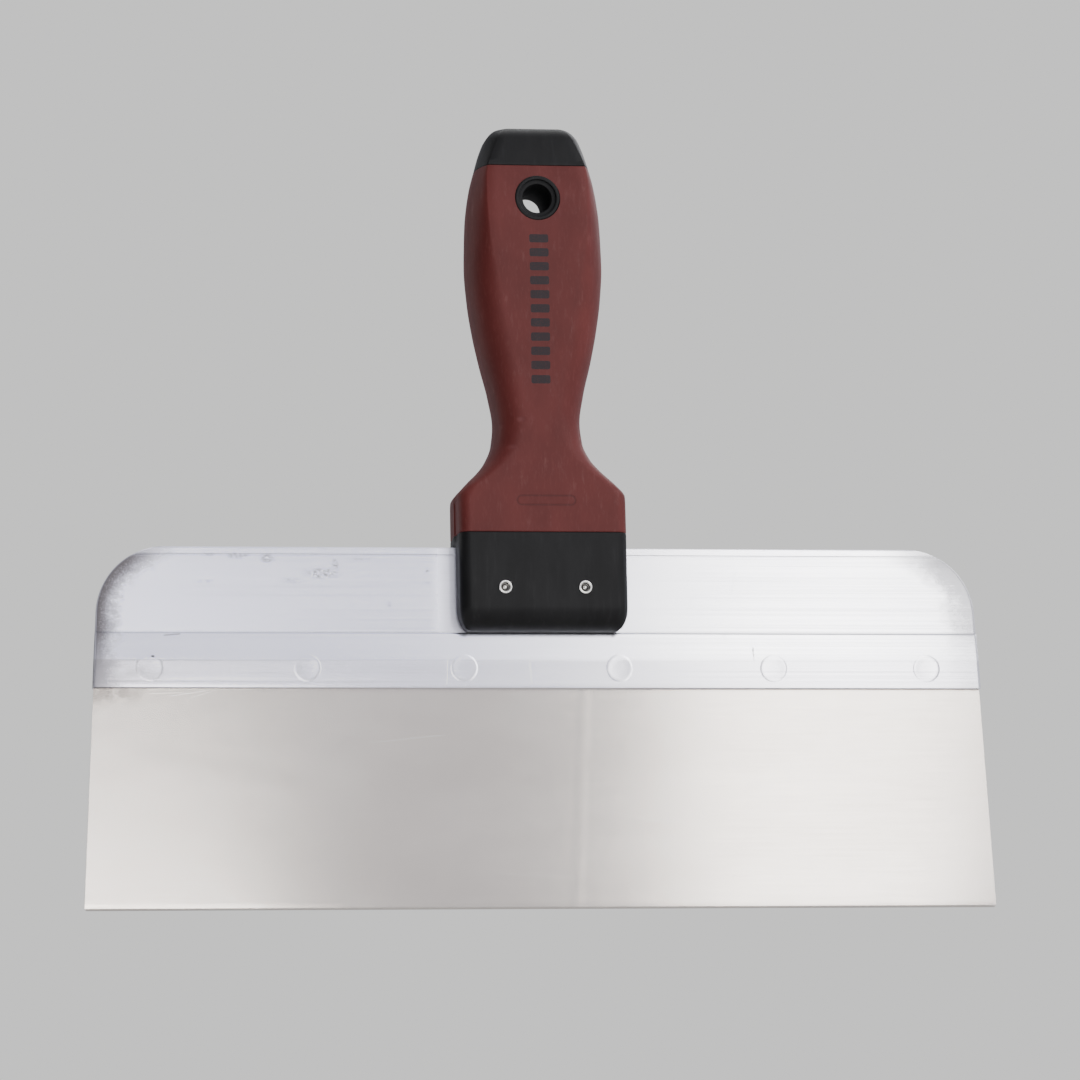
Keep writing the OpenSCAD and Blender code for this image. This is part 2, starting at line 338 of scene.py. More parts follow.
def build_core():
    rings = []
    foot_r, foot_in = 7.6, 3.6
    w0, wf0, d0, ds0 = at(97.0)
    for a in range(0, 90, 6):
        a = math.radians(a)
        g, h = foot_in * (1 - math.sin(a)), STEP_Z + foot_r * (1 - math.cos(a))
        pts = closed_outline(w0 - 0.45 - g, wf0 - 0.5 * g, d0 - 2.4 * g, ds0 - 0.6 * g, 2.6, -0.45, 1.0)
        rings.append([(x, y, h) for x, y in pts])
    for z in np.arange(STEP_Z + foot_r, SLEEVE_Z0 - 0.6, 1.5):
        rings.append(ring(float(z)))
    for z, g in reversed(lip(SLEEVE_Z0, -1)):
        rings.append(ring(z, g, z))
    rings.append(ring(SLEEVE_Z0, SLEEVE_T, outer=False))
    for z in np.arange(SLEEVE_Z0 + 2, SLEEVE_Z1 - 1, 2.0):
        rings.append(ring(float(z), SLEEVE_T, outer=False))
    rings.append(ring(SLEEVE_Z1, SLEEVE_T, outer=False))
    for z, g in lip(SLEEVE_Z1, 1):
        rings.append(ring(z, g, z))
    for z in np.arange(SLEEVE_Z1 + 1.2, TOP_Z - 0.3, 1.0):
        rings.append(ring(float(z)))
    rings.append(ring(TOP_Z))
    for a in range(9, 91, 9):
        rings.append(crown_ring(math.radians(a)))
    n = len(rings[0])
    verts = [p for r in rings for p in r]
    faces = tube_faces(0, len(rings), n)
    faces.append(tuple(range(n - 1, -1, -1)))
    faces.append(tuple((len(rings) - 1) * n + k for k in range(n)))
    body = mesh_object("handle_core_body", verts, faces)
    fix_normals(body)
    play = 0.03
    cutters = [
        box_mesh("c1", (-60, -FLANGE_T / 2 - play, STEP_Z - 4), (60, FLANGE_T / 2 + play, BACK_Z1 + 0.1)),
        lathe_y("c2", [(0, -30), (RING_D / 2 - 0.01, -30), (RING_D / 2 - 0.01, 30), (0, 30)], 0, HANG_Z),
    ]
    for s in (-1, 1):
        cutters.append(lathe_y("c3", [(0, -30), (HRD / 2 + 0.05, -30), (HRD / 2 + 0.05, 30), (0, 30)], s * HRX, HRZ, 32))
    boolean(body, cutters)
    fix_normals(body)
    # the hard ring round the hang hole: rolled rim, recess, ledge and bore, the same on both faces
    y = RING_H / 2
    ro, rr, rb = RING_D / 2, RECESS_D / 2, HANG_D / 2
    half = [
        (ro, 0.0), (ro, -y + 0.35), (ro - 0.1, -y + 0.12), (ro - 0.32, -y),
        (rr + 0.32, -y), (rr + 0.1, -y + 0.08), (rr, -y + 0.3), (rr - 0.05, -y + RECESS - 0.1),
        (rr - 0.18, -y + RECESS), (rb + 0.5, -y + RECESS), (rb + 0.14, -y + RECESS + 0.12), (rb, -y + RECESS + 0.5),
        (rb, 0.0)]
    prof = half + [(r, -yy) for r, yy in half[-2:0:-1]]
    rng = lathe_y("hang_ring", prof, 0, HANG_Z, 96, closed=True, sharp_deg=60)
    ob = join("handle_core_moulding", [body, rng])
    shade(ob, 38)
    return ob


def build_sleeve():
    z0, z1 = SLEEVE_Z0, SLEEVE_Z1
    outer = [ring(z, g, z) for z, g in lip(z0, 1)]
    outer += [ring(float(z)) for z in np.arange(z0 + 0.9, z1 - 0.6, 0.8)]
    outer += [ring(z, g, z) for z, g in reversed(lip(z1, -1))]
    inner = [ring(z0, SLEEVE_T, outer=False)]
    inner += [ring(float(z), SLEEVE_T, outer=False) for z in np.arange(z0 + 2, z1 - 1, 2.0)]
    inner += [ring(z1, SLEEVE_T, outer=False)]
    n, a, b = len(outer[0]), len(outer), len(inner)
    verts = [p for r in outer + inner for p in r]
    m = a * n
    faces = tube_faces(0, a, n) + tube_faces(m, b, n, True)
    for k in range(n):
        j = (k + 1) % n
        faces.append((j, k, m + k, m + j))
        e, f = (a - 1) * n, m + (b - 1) * n
        faces.append((e + k, e + j, f + j, f + k))
    ob = mesh_object("grip_sleeve_soft", verts, faces)
    fix_normals(ob)
    boolean(ob, [lathe_y("c", [(0, -30), (RING_D / 2 + 0.05, -30), (RING_D / 2 + 0.05, 30), (0, 30)], 0, HANG_Z, 96)])
    fix_normals(ob)
    shade(ob, 38)
    return ob


# ---------------------------------------------------------------------------
# blade, backing and rivets
# ---------------------------------------------------------------------------

def jaw_y(z):
    """Half thickness of the extrusion at height z."""
    pts = [(BACK_Z0, JAW_T / 2 - 0.13), (CREASE_Z, JAW_T / 2), (STEP_Z, JAW_T / 2 - 0.5)]
    if z <= pts[0][0]:
        return pts[0][1]
    for (za, ya), (zb, yb) in zip(pts, pts[1:]):
        if z <= zb:
            return mix(ya, yb, (z - za) / (zb - za))
    return FLANGE_T / 2


def back_half(z):
    """Half length of the backing at height z, with the rounded top corners."""
    zc = BACK_Z1 - CORNER_R
    xc = end_half(zc, OVERHANG) - CORNER_R / math.cos(END_TAPER)
    zt = zc + CORNER_R * math.sin(END_TAPER)
    if z <= zt:
        return end_half(z, OVERHANG)
    return xc + math.sqrt(max(CORNER_R ** 2 - (z - zc) ** 2, 0.0))


def section():
    """The extrusion's front half section from the slot's mouth up over the top: (y, z) with y > 0 outwards."""
    p = []
    t = BLADE_T / 2 + 0.03
    y0 = jaw_y(BACK_Z0)
    # mouth and lip, with a rolled outer edge
    p += [(t, BACK_Z0 + 0.12), (t + 0.12, BACK_Z0)]
    for a in (0, 25, 50, 75, 90):
        a = math.radians(a)
        p.append((y0 - 0.22 + 0.22 * math.sin(a), BACK_Z0 + 0.22 * (1 - math.cos(a))))
    # lower band, with a shallow drawn line near its foot
    for z in (75.0, 75.35):
        p.append((jaw_y(z), z))
    p += [(jaw_y(75.6) - 0.008, 75.6), (jaw_y(75.85), 75.85)]
    for z in (77.0, 79.0, 81.0, 82.0):
        p.append((jaw_y(z), z))
    # crease, softened
    p += [(jaw_y(82.35) - 0.005, 82.35), (JAW_T / 2 - 0.02, CREASE_Z), (jaw_y(82.85) - 0.005, 82.85)]
    for z in (84.0, 86.0, 88.0, 90.0, 91.2):
        p.append((jaw_y(z), z))
    # step: a small rounded shoulder and a shadowed root
    ys = jaw_y(STEP_Z)
    p += [(ys - 0.02, STEP_Z - 0.25), (ys - 0.12, STEP_Z - 0.06), (ys - 0.3, STEP_Z)]
    f = FLANGE_T / 2
    p += [(f + 0.05, STEP_Z), (f, STEP_Z + 0.06), (f, STEP_Z + 0.4)]
    for z in np.linspace(93.0, 117.4, 24):
        p.append((f, float(z)))
    # groove below the top bead
    gz = BACK_Z1 - 2.6
    p += [(f, gz - 0.35), (f - 0.2, gz - 0.1), (f - 0.2, gz + 0.1), (f, gz + 0.35)]
    p += [(f, BACK_Z1 - 1.2), (f, BACK_Z1 - 0.6), (f, BACK_Z1 - 0.3), (f - 0.06, BACK_Z1 - 0.12),
          (f - 0.2, BACK_Z1 - 0.02), (f - 0.4, BACK_Z1)]
    return p


def build_backing():
    half = section()
    # closed loop: front from mouth to top, back from top to mouth, then the slot's walls
    loop = [(-y, z) for y, z in half] + [(0.0, BACK_Z1)] + [(y, z) for y, z in reversed(half)]
    t, zt = BLADE_T / 2 + 0.03, BACK_Z0 + BLADE_GRIP + 0.2
    loop += [(t, zt - 6), (t, zt), (-t, zt), (-t, zt - 6)]
    n = len(loop)
    us = [0.0]
    us = list(np.linspace(-1, 1, 61))
    # ends: a small rounding of the sawn ends
    cols = []
    for u in us[1:-1]:
        cols.append((u, 0.0, 0.0))
    ends = []
    for inset, thin in ((0.9, 0.0), (0.25, 0.0), (0.07, 0.05), (0.0, 0.2)):
        ends.append((inset, thin))
    verts, faces, count = [], [], 0

    def column(sign_u, inset, thin):
        out = []
        for y, z in loop:
            h = back_half(z)
            x = sign_u * h if inset is None else math.copysign(h - inset, sign_u)
            k = 1.0
            if thin:
                k = max((abs(y) - thin) / max(abs(y), 1e-6), 0.0) if abs(y) > BLADE_T / 2 + 0.05 else 1.0
            out.append((x, y * k, z))
        return out

    columns = []
    for inset, thin in reversed(ends):
        columns.append(column(-1.0, inset, thin))
    for u in us[1:-1]:
        columns.append(column(u, None, 0.0))
    for inset, thin in ends:
        columns.append(column(1.0, inset, thin))
    for c in columns:
        verts += c
    m = len(columns)
    for i in range(m - 1):
        for k in range(n):
            j = (k + 1) % n
            faces.append((i * n + k, i * n + j, (i + 1) * n + j, (i + 1) * n + k))
    # end caps: quads between the front and back halves, around the slot
    h = len(half)
    for base, flip in ((0, False), ((m - 1) * n, True)):
        cap = [base + k for k in range(n)]
        faces.append(tuple(cap if flip else cap[::-1]))
    ob = mesh_object("backing_extrusion", verts, faces)
    import bmesh
    bm = bmesh.new()
    bm.from_mesh(ob.data)
    bmesh.ops.remove_doubles(bm, verts=bm.verts, dist=1e-7)
    bmesh.ops.triangulate(bm, faces=[f for f in bm.faces if len(f.verts) > 4])
    bmesh.ops.recalc_face_normals(bm, faces=bm.faces)
    bm.to_mesh(ob.data)
    bm.free()
    cutters = []
    for i in range(6):
        x = (i - 2.5) * FLUSH_PITCH
        for s in (-1, 1):
            cutters.append(lathe_y("c", [(0, s * 6), (FLUSH_D / 2, s * 6), (FLUSH_D / 2, s * FLUSH_SEAT), (0, s * FLUSH_SEAT)], x, FLUSH_Z, 64))
        cutters.append(lathe_y("c", [(0, -2), (2.45, -2), (2.45, 2), (0, 2)], x, FLUSH_Z, 32))
    for s in (-1, 1):
        cutters.append(lathe_y("c", [(0, -6), (HRD / 2 + 0.05, -6), (HRD / 2 + 0.05, 6), (0, 6)], s * HRX, HRZ, 32))
    boolean(ob, cutters)
    fix_normals(ob)
    shade(ob, 30)
    return ob


def build_flush_rivet(i):
    """A flush rivet: its face follows the jaw's crowned face, with a fine pressed outline and a low crown."""
    x0 = (i - 2.5) * FLUSH_PITCH
    seg = 72
    radii = [(0.0, -0.006), (1.6, -0.005), (2.6, 0.0), (3.3, 0.008), (3.8, 0.013), (4.15, 0.011), (4.4, 0.001),
             (FLUSH_D / 2 - 0.002, -0.010)]
    verts, faces = [], []
    rows = []
    # front face from its centre out, down the head, in to the shank, through, and the same behind
    for s in (-1, 1):
        rr = []
        for r, h in radii:
            rr.append([(x0 + r * math.cos(a), s * (jaw_y(FLUSH_Z + r * math.sin(a)) + h), FLUSH_Z + r * math.sin(a))
                       for a in (2 * math.pi * k / seg for k in range(seg))])
        rr.append([(x0 + (FLUSH_D / 2 - 0.002) * math.cos(a), s * FLUSH_SEAT, FLUSH_Z + (FLUSH_D / 2 - 0.002) * math.sin(a))
                   for a in (2 * math.pi * k / seg for k in range(seg))])
        rr.append([(x0 + 2.4 * math.cos(a), s * FLUSH_SEAT, FLUSH_Z + 2.4 * math.sin(a))
                   for a in (2 * math.pi * k / seg for k in range(seg))])
        rows.append(rr)
    allrows = rows[0] + rows[1][::-1]
    for r in allrows:
        verts += r
    for i2 in range(len(allrows) - 1):
        for k in range(seg):
            j = (k + 1) % seg
            faces.append((i2 * seg + k, i2 * seg + j, (i2 + 1) * seg + j, (i2 + 1) * seg + k))
    ob = mesh_object(f"flush_rivet_{i + 1}", verts, faces)
    fix_normals(ob)
    shade(ob, 50)
    return ob


def build_blade():
    """The sheet, with a very slight bow that dies out at the jaw, and a softly worn edge."""
    z_top = BACK_Z0 + BLADE_GRIP
    zs = [0.0, 0.25, 0.8] + list(np.linspace(2.5, BACK_Z0, 30)) + [BACK_Z0 + 2, z_top]
    us = list(np.linspace(-1, 1, 121))
    nx, nz = len(us), len(zs)

    def mid(x, z):
        f = max(0.0, 1 - z / BACK_Z0)
        return -0.35 * (f ** 1.5) * (1 - (x / 152.4) ** 2) + 0.0

    verts, faces = [], []
    for side in (-1, 1):
        for z in zs:
            hw = end_half(z)
            if z < 0.8:
                hw -= 0.6 * (1 - z / 0.8) ** 2
            # the spreading edge is eased
            t = BLADE_T / 2 * (0.55 if z == 0.0 else 0.85 if z < 0.5 else 1.0)
            for u in us:
                x = u * hw
                wear = 0.0
                verts.append((x, mid(x, z) + side * t, z + (wear if z == 0.0 else 0.0)))
    def vid(s, j, i):
        return s * nx * nz + j * nx + i
    for s in (0, 1):
        for j in range(nz - 1):
            for i in range(nx - 1):
                f = (vid(s, j, i), vid(s, j, i + 1), vid(s, j + 1, i + 1), vid(s, j + 1, i))
                faces.append(f if s == 0 else f[::-1])
    for i in range(nx - 1):
        faces.append((vid(0, 0, i), vid(1, 0, i), vid(1, 0, i + 1), vid(0, 0, i + 1)))
        faces.append((vid(0, nz - 1, i), vid(0, nz - 1, i + 1), vid(1, nz - 1, i + 1), vid(1, nz - 1, i)))
    for j in range(nz - 1):
        faces.append((vid(0, j, 0), vid(0, j + 1, 0), vid(1, j + 1, 0), vid(1, j, 0)))
        faces.append((vid(0, j, nx - 1), vid(1, j, nx - 1), vid(1, j + 1, nx - 1), vid(0, j + 1, nx - 1)))
    ob = mesh_object("blade_sheet", verts, faces)
    fix_normals(ob)
    cutters = []
    for i in range(6):
        cutters.append(lathe_y("c", [(0, -2), (2.45, -2), (2.45, 2), (0, 2)], (i - 2.5) * FLUSH_PITCH, FLUSH_Z, 32))
    boolean(ob, cutters)
    fix_normals(ob)
    shade(ob, 40)
    return ob


def build_handle_rivet(s):
    y = BASE_D / 2
    r, f, p = HRD / 2, HEAD_D / 2, ROLLED_D / 2
    prof = [(0, y + 1.0)]
    for a in range(10, 80, 10):
        a = math.radians(a)
        prof.append((f * math.sin(a) * 1.0, y + 0.15 + 0.85 * math.cos(a)))
    prof += [(f, y + 0.12), (f - 0.05, y), (r, y), (r, -y), (p - 0.1, -y), (p, -y - 0.1)]
    # the rolled rim: a small torus section, then down into the hollow
    cx, cy, cr = p - 0.42, -y - 0.16, 0.44
    for a in (20, 45, 70, 95, 120, 145, 170):
        a = math.radians(a)
        prof.append((cx + cr * math.cos(a) * 0.95, cy - cr * math.sin(a)))
    prof += [(1.42, -y + 0.05), (1.36, -y + 0.6), (1.3, -y + 1.25), (1.15, -y + 1.3), (0.95, -y + 0.95),
             (0.7, -y + 0.62), (0.4, -y + 0.42), (0.0, -y + 0.34)]
    name = "handle_rivet_l" if s < 0 else "handle_rivet_r"
    return lathe_y(name, prof, s * HRX, HRZ, 56, sharp_deg=60)


# ---------------------------------------------------------------------------
# materials
# ---------------------------------------------------------------------------

class Nodes:
    """Small helper for writing node trees."""

    def __init__(self, name):
        self.mat = bpy.data.materials.new(name)
        self.mat.use_nodes = True
        self.t = self.mat.node_tree
        self.t.nodes.clear()
        self.out = self.t.nodes.new("ShaderNodeOutputMaterial")
        self.bsdf = self.t.nodes.new("ShaderNodeBsdfPrincipled")
        self.t.links.new(self.bsdf.outputs["BSDF"], self.out.inputs["Surface"])
        self._co = None

    def new(self, kind):
        return self.t.nodes.new(kind)

    def link(self, a, b):
        self.t.links.new(a, b)

    def put(self, sock, v):
        if isinstance(v, bpy.types.NodeSocket):
            self.link(v, sock)
        else:
            sock.default_value = v

    def co(self):
        """Object coordinates in millimetres."""
        if self._co is None:
            tc = self.new("ShaderNodeTexCoord")
            vm = self.new("ShaderNodeVectorMath")
            vm.operation = "SCALE"
            self.link(tc.outputs["Object"], vm.inputs[0])
            vm.inputs["Scale"].default_value = 1000.0
            self._co = vm.outputs[0]
        return self._co

    def xyz(self, v=None):
        s = self.new("ShaderNodeSeparateXYZ")
        self.link(v or self.co(), s.inputs[0])
        return s.outputs[0], s.outputs[1], s.outputs[2]

    def vec(self, x, y, z):
        c = self.new("ShaderNodeCombineXYZ")
        for s, v in zip(c.inputs, (x, y, z)):
            self.put(s, v)
        return c.outputs[0]

    def math(self, op, a, b=None, c=None, clamp=False):
        m = self.new("ShaderNodeMath")
        m.operation = op
        m.use_clamp = clamp
        self.put(m.inputs[0], a)
        if b is not None:
            self.put(m.inputs[1], b)
        if c is not None:
            self.put(m.inputs[2], c)
        return m.outputs[0]

    def add(self, a, b): return self.math("ADD", a, b)
    def sub(self, a, b): return self.math("SUBTRACT", a, b)
    def mul(self, a, b): return self.math("MULTIPLY", a, b)
    def div(self, a, b): return self.math("DIVIDE", a, b)
    def absv(self, a): return self.math("ABSOLUTE", a)
    def maxv(self, a, b): return self.math("MAXIMUM", a, b)
    def minv(self, a, b): return self.math("MINIMUM", a, b)

    def scale(self, v, sx, sy, sz):
        m = self.new("ShaderNodeVectorMath")
        m.operation = "MULTIPLY"
        self.link(v, m.inputs[0])
        m.inputs[1].default_value = (sx, sy, sz)
        return m.outputs[0]

    def shift(self, v, x, y, z):
        m = self.new("ShaderNodeVectorMath")
        m.operation = "ADD"
        self.link(v, m.inputs[0])
        m.inputs[1].default_value = (x, y, z)
        return m.outputs[0]

    def noise(self, v, scale=1.0, detail=2.0, rough=0.5, dist=0.0):
        n = self.new("ShaderNodeTexNoise")
        n.noise_dimensions = "3D"
        self.link(v, n.inputs["Vector"])
        n.inputs["Scale"].default_value = scale
        n.inputs["Detail"].default_value = detail
        n.inputs["Roughness"].default_value = rough
        n.inputs["Distortion"].default_value = dist
        return n.outputs["Fac"]

    def ramp(self, v, a, b, lo=0.0, hi=1.0, smooth=True):
        m = self.new("ShaderNodeMapRange")
        m.interpolation_type = "SMOOTHSTEP" if smooth else "LINEAR"
        m.clamp = True
        self.put(m.inputs["Value"], v)
        m.inputs["From Min"].default_value = a
        m.inputs["From Max"].default_value = b
        m.inputs["To Min"].default_value = lo
        m.inputs["To Max"].default_value = hi
        return m.outputs["Result"]

    def mixc(self, f, a, b):
        m = self.new("ShaderNodeMix")
        m.data_type = "RGBA"
        m.clamp_factor = True
        self.put(m.inputs[0], f)
        for s, v in ((m.inputs[6], a), (m.inputs[7], b)):
            if isinstance(v, bpy.types.NodeSocket):
                self.link(v, s)
            else:
                s.default_value = (*v, 1.0) if len(v) == 3 else v
        return m.outputs[2]

    def bump(self, height, dist_mm, strength=1.0, normal=None):
        b = self.new("ShaderNodeBump")
        b.inputs["Strength"].default_value = strength
        b.inputs["Distance"].default_value = dist_mm * MM
        self.link(height, b.inputs["Height"])
        if normal is not None:
            self.link(normal, b.inputs["Normal"])
        return b.outputs["Normal"]

    def blob(self, x, z, cx, cz, rx, rz, soft=1.0):
        """1 inside an ellipse in X and Z, fading to 0 at its rim."""
        a = self.div(self.sub(x, cx), rx)
        b = self.div(self.sub(z, cz), rz)
        d = self.math("SQRT", self.add(self.mul(a, a), self.mul(b, b)))
        return self.ramp(d, 1.0, 1.0 - soft)

    def stroke(self, x, z, x0, z0, x1, z1, w):
        """A thin scratch from (x0, z0) to (x1, z1), w wide, soft at its sides and ends."""
        dx, dz = x1 - x0, z1 - z0
        L = math.hypot(dx, dz)
        ux, uz = dx / L, dz / L
        px, pz = self.sub(x, x0), self.sub(z, z0)
        along = self.add(self.mul(px, ux), self.mul(pz, uz))
        across = self.absv(self.sub(self.mul(px, uz), self.mul(pz, ux)))
        m = self.ramp(across, w, w * 0.3)
        e = self.mul(self.ramp(along, 0.0, L * 0.12), self.ramp(along, L, L * 0.88))
        return self.mul(m, e)


def brushed(n, rough, aniso):
    """Grain along X: smooth that way, rough across it."""
    n.bsdf.inputs["Metallic"].default_value = 1.0
    n.put(n.bsdf.inputs["Roughness"], rough)
    n.bsdf.inputs["Anisotropic"].default_value = aniso
    n.bsdf.inputs["Anisotropic Rotation"].default_value = 0.25
    tg = n.new("ShaderNodeTangent")
    tg.direction_type = "RADIAL"
    tg.axis = "Z"
    n.link(tg.outputs[0], n.bsdf.inputs["Tangent"])


def mat_blade():
    n = Nodes("blade_steel")
    co = n.co()
    x, y, z = n.xyz()
    grain = n.noise(n.scale(co, 0.05, 1.0, 5.0), 1.0, 4.0, 0.65)
    cross = n.noise(n.scale(co, 2.2, 1.0, 0.03), 1.0, 3.0, 0.6)
    cloud = n.noise(n.scale(co, 0.012, 0.02, 0.03), 1.0, 3.0, 0.5)
    mott = n.noise(co, 0.16, 4.0, 0.6)
    fine = n.noise(co, 3.0, 3.0, 0.7)
    base = n.mixc(n.ramp(cloud, 0.35, 0.7), (0.545, 0.500, 0.455), (0.600, 0.552, 0.505))
    base = n.mixc(n.mul(n.ramp(grain, 0.35, 0.7), 0.10), base, (0.40, 0.375, 0.35))
    base = n.mixc(n.mul(n.ramp(fine, 0.58, 0.75), 0.10), base, (0.34, 0.32, 0.30))
    # handling smudges: under the left end of the backing, and a long faint wipe
    sm = n.mul(n.blob(x, z, -146.0, 71.5, 26.0, 6.5, 0.9), n.ramp(mott, 0.30, 0.60))
    sm = n.maxv(sm, n.mul(n.blob(x, z, -152.0, 69.0, 7.0, 9.0, 0.9), 0.7))
    base = n.mixc(n.mul(sm, 0.55), base, (0.16, 0.135, 0.12))
    wipe_z = n.add(n.mul(x, -0.19), 27.0)
    wipe = n.mul(n.ramp(n.absv(n.sub(z, wipe_z)), 6.0, 0.3), n.ramp(n.absv(n.add(x, 106.0)), 44.0, 18.0))
    base = n.mixc(n.mul(n.mul(wipe, n.ramp(mott, 0.3, 0.6, 0.4, 1.0)), 0.16), base, (0.30, 0.27, 0.24))
    # painted shade: a mottled dark line where the sheet goes into the backing
    seam_shade = n.ramp(z, BACK_Z0 - 2.2, BACK_Z0 - 0.1)
    base = n.mixc(n.mul(n.mul(seam_shade, n.ramp(mott, 0.3, 0.62, 0.35, 1.0)), 0.10), base, (0.22, 0.20, 0.18))
    # fine handling scratches
    marks = None
    for x0, z0, x1, z1, w, k in ((-124, 70.6, -111, 72.6, 0.22, 0.6), (-119, 69.4, -108, 72.8, 0.16, 0.5),
                                 (-131, 71.5, -118, 71.9, 0.2, 0.4), (-60, 55, -31, 58, 0.14, 0.25),
                                 (24, 31, 58, 27, 0.14, 0.2), (84, 60, 97, 66, 0.14, 0.25), (-96, 22, -60, 24, 0.13, 0.2),
                                 (118, 12, 139, 15, 0.14, 0.22), (-20, 12, 12, 10.5, 0.13, 0.2)):
        m = n.mul(n.stroke(x, z, x0, z0, x1, z1, w), k)
        marks = m if marks is None else n.maxv(marks, m)
    base = n.mixc(marks, base, (0.86, 0.83, 0.79))
    # the spreading edge is worn bright
    base = n.mixc(n.mul(n.ramp(z, 1.1, 0.0), 0.5), base, (0.80, 0.77, 0.73))
    n.put(n.bsdf.inputs["Base Color"], base)
    rough = n.add(n.mul(n.ramp(grain, 0.3, 0.7), 0.03), n.add(n.mul(mott, 0.03), 0.125))
    brushed(n, n.add(rough, n.mul(sm, 0.12)), 0.8)
    # one faint crease line in the sheet, upright and slightly leaning
    cx = n.sub(x, n.add(n.mul(z, 0.052), 10.6))
    crease = n.mul(n.ramp(n.absv(cx), 3.2, 0.0), n.ramp(mott, 0.2, 0.55, 0.3, 1.0))
    nb = n.bump(grain, 0.004, 0.5)
    nb = n.bump(cross, 0.0022, 0.5, nb)
    nb = n.bump(crease, 0.007, 0.75, nb)
    n.link(nb, n.bsdf.inputs["Normal"])
    return n.mat


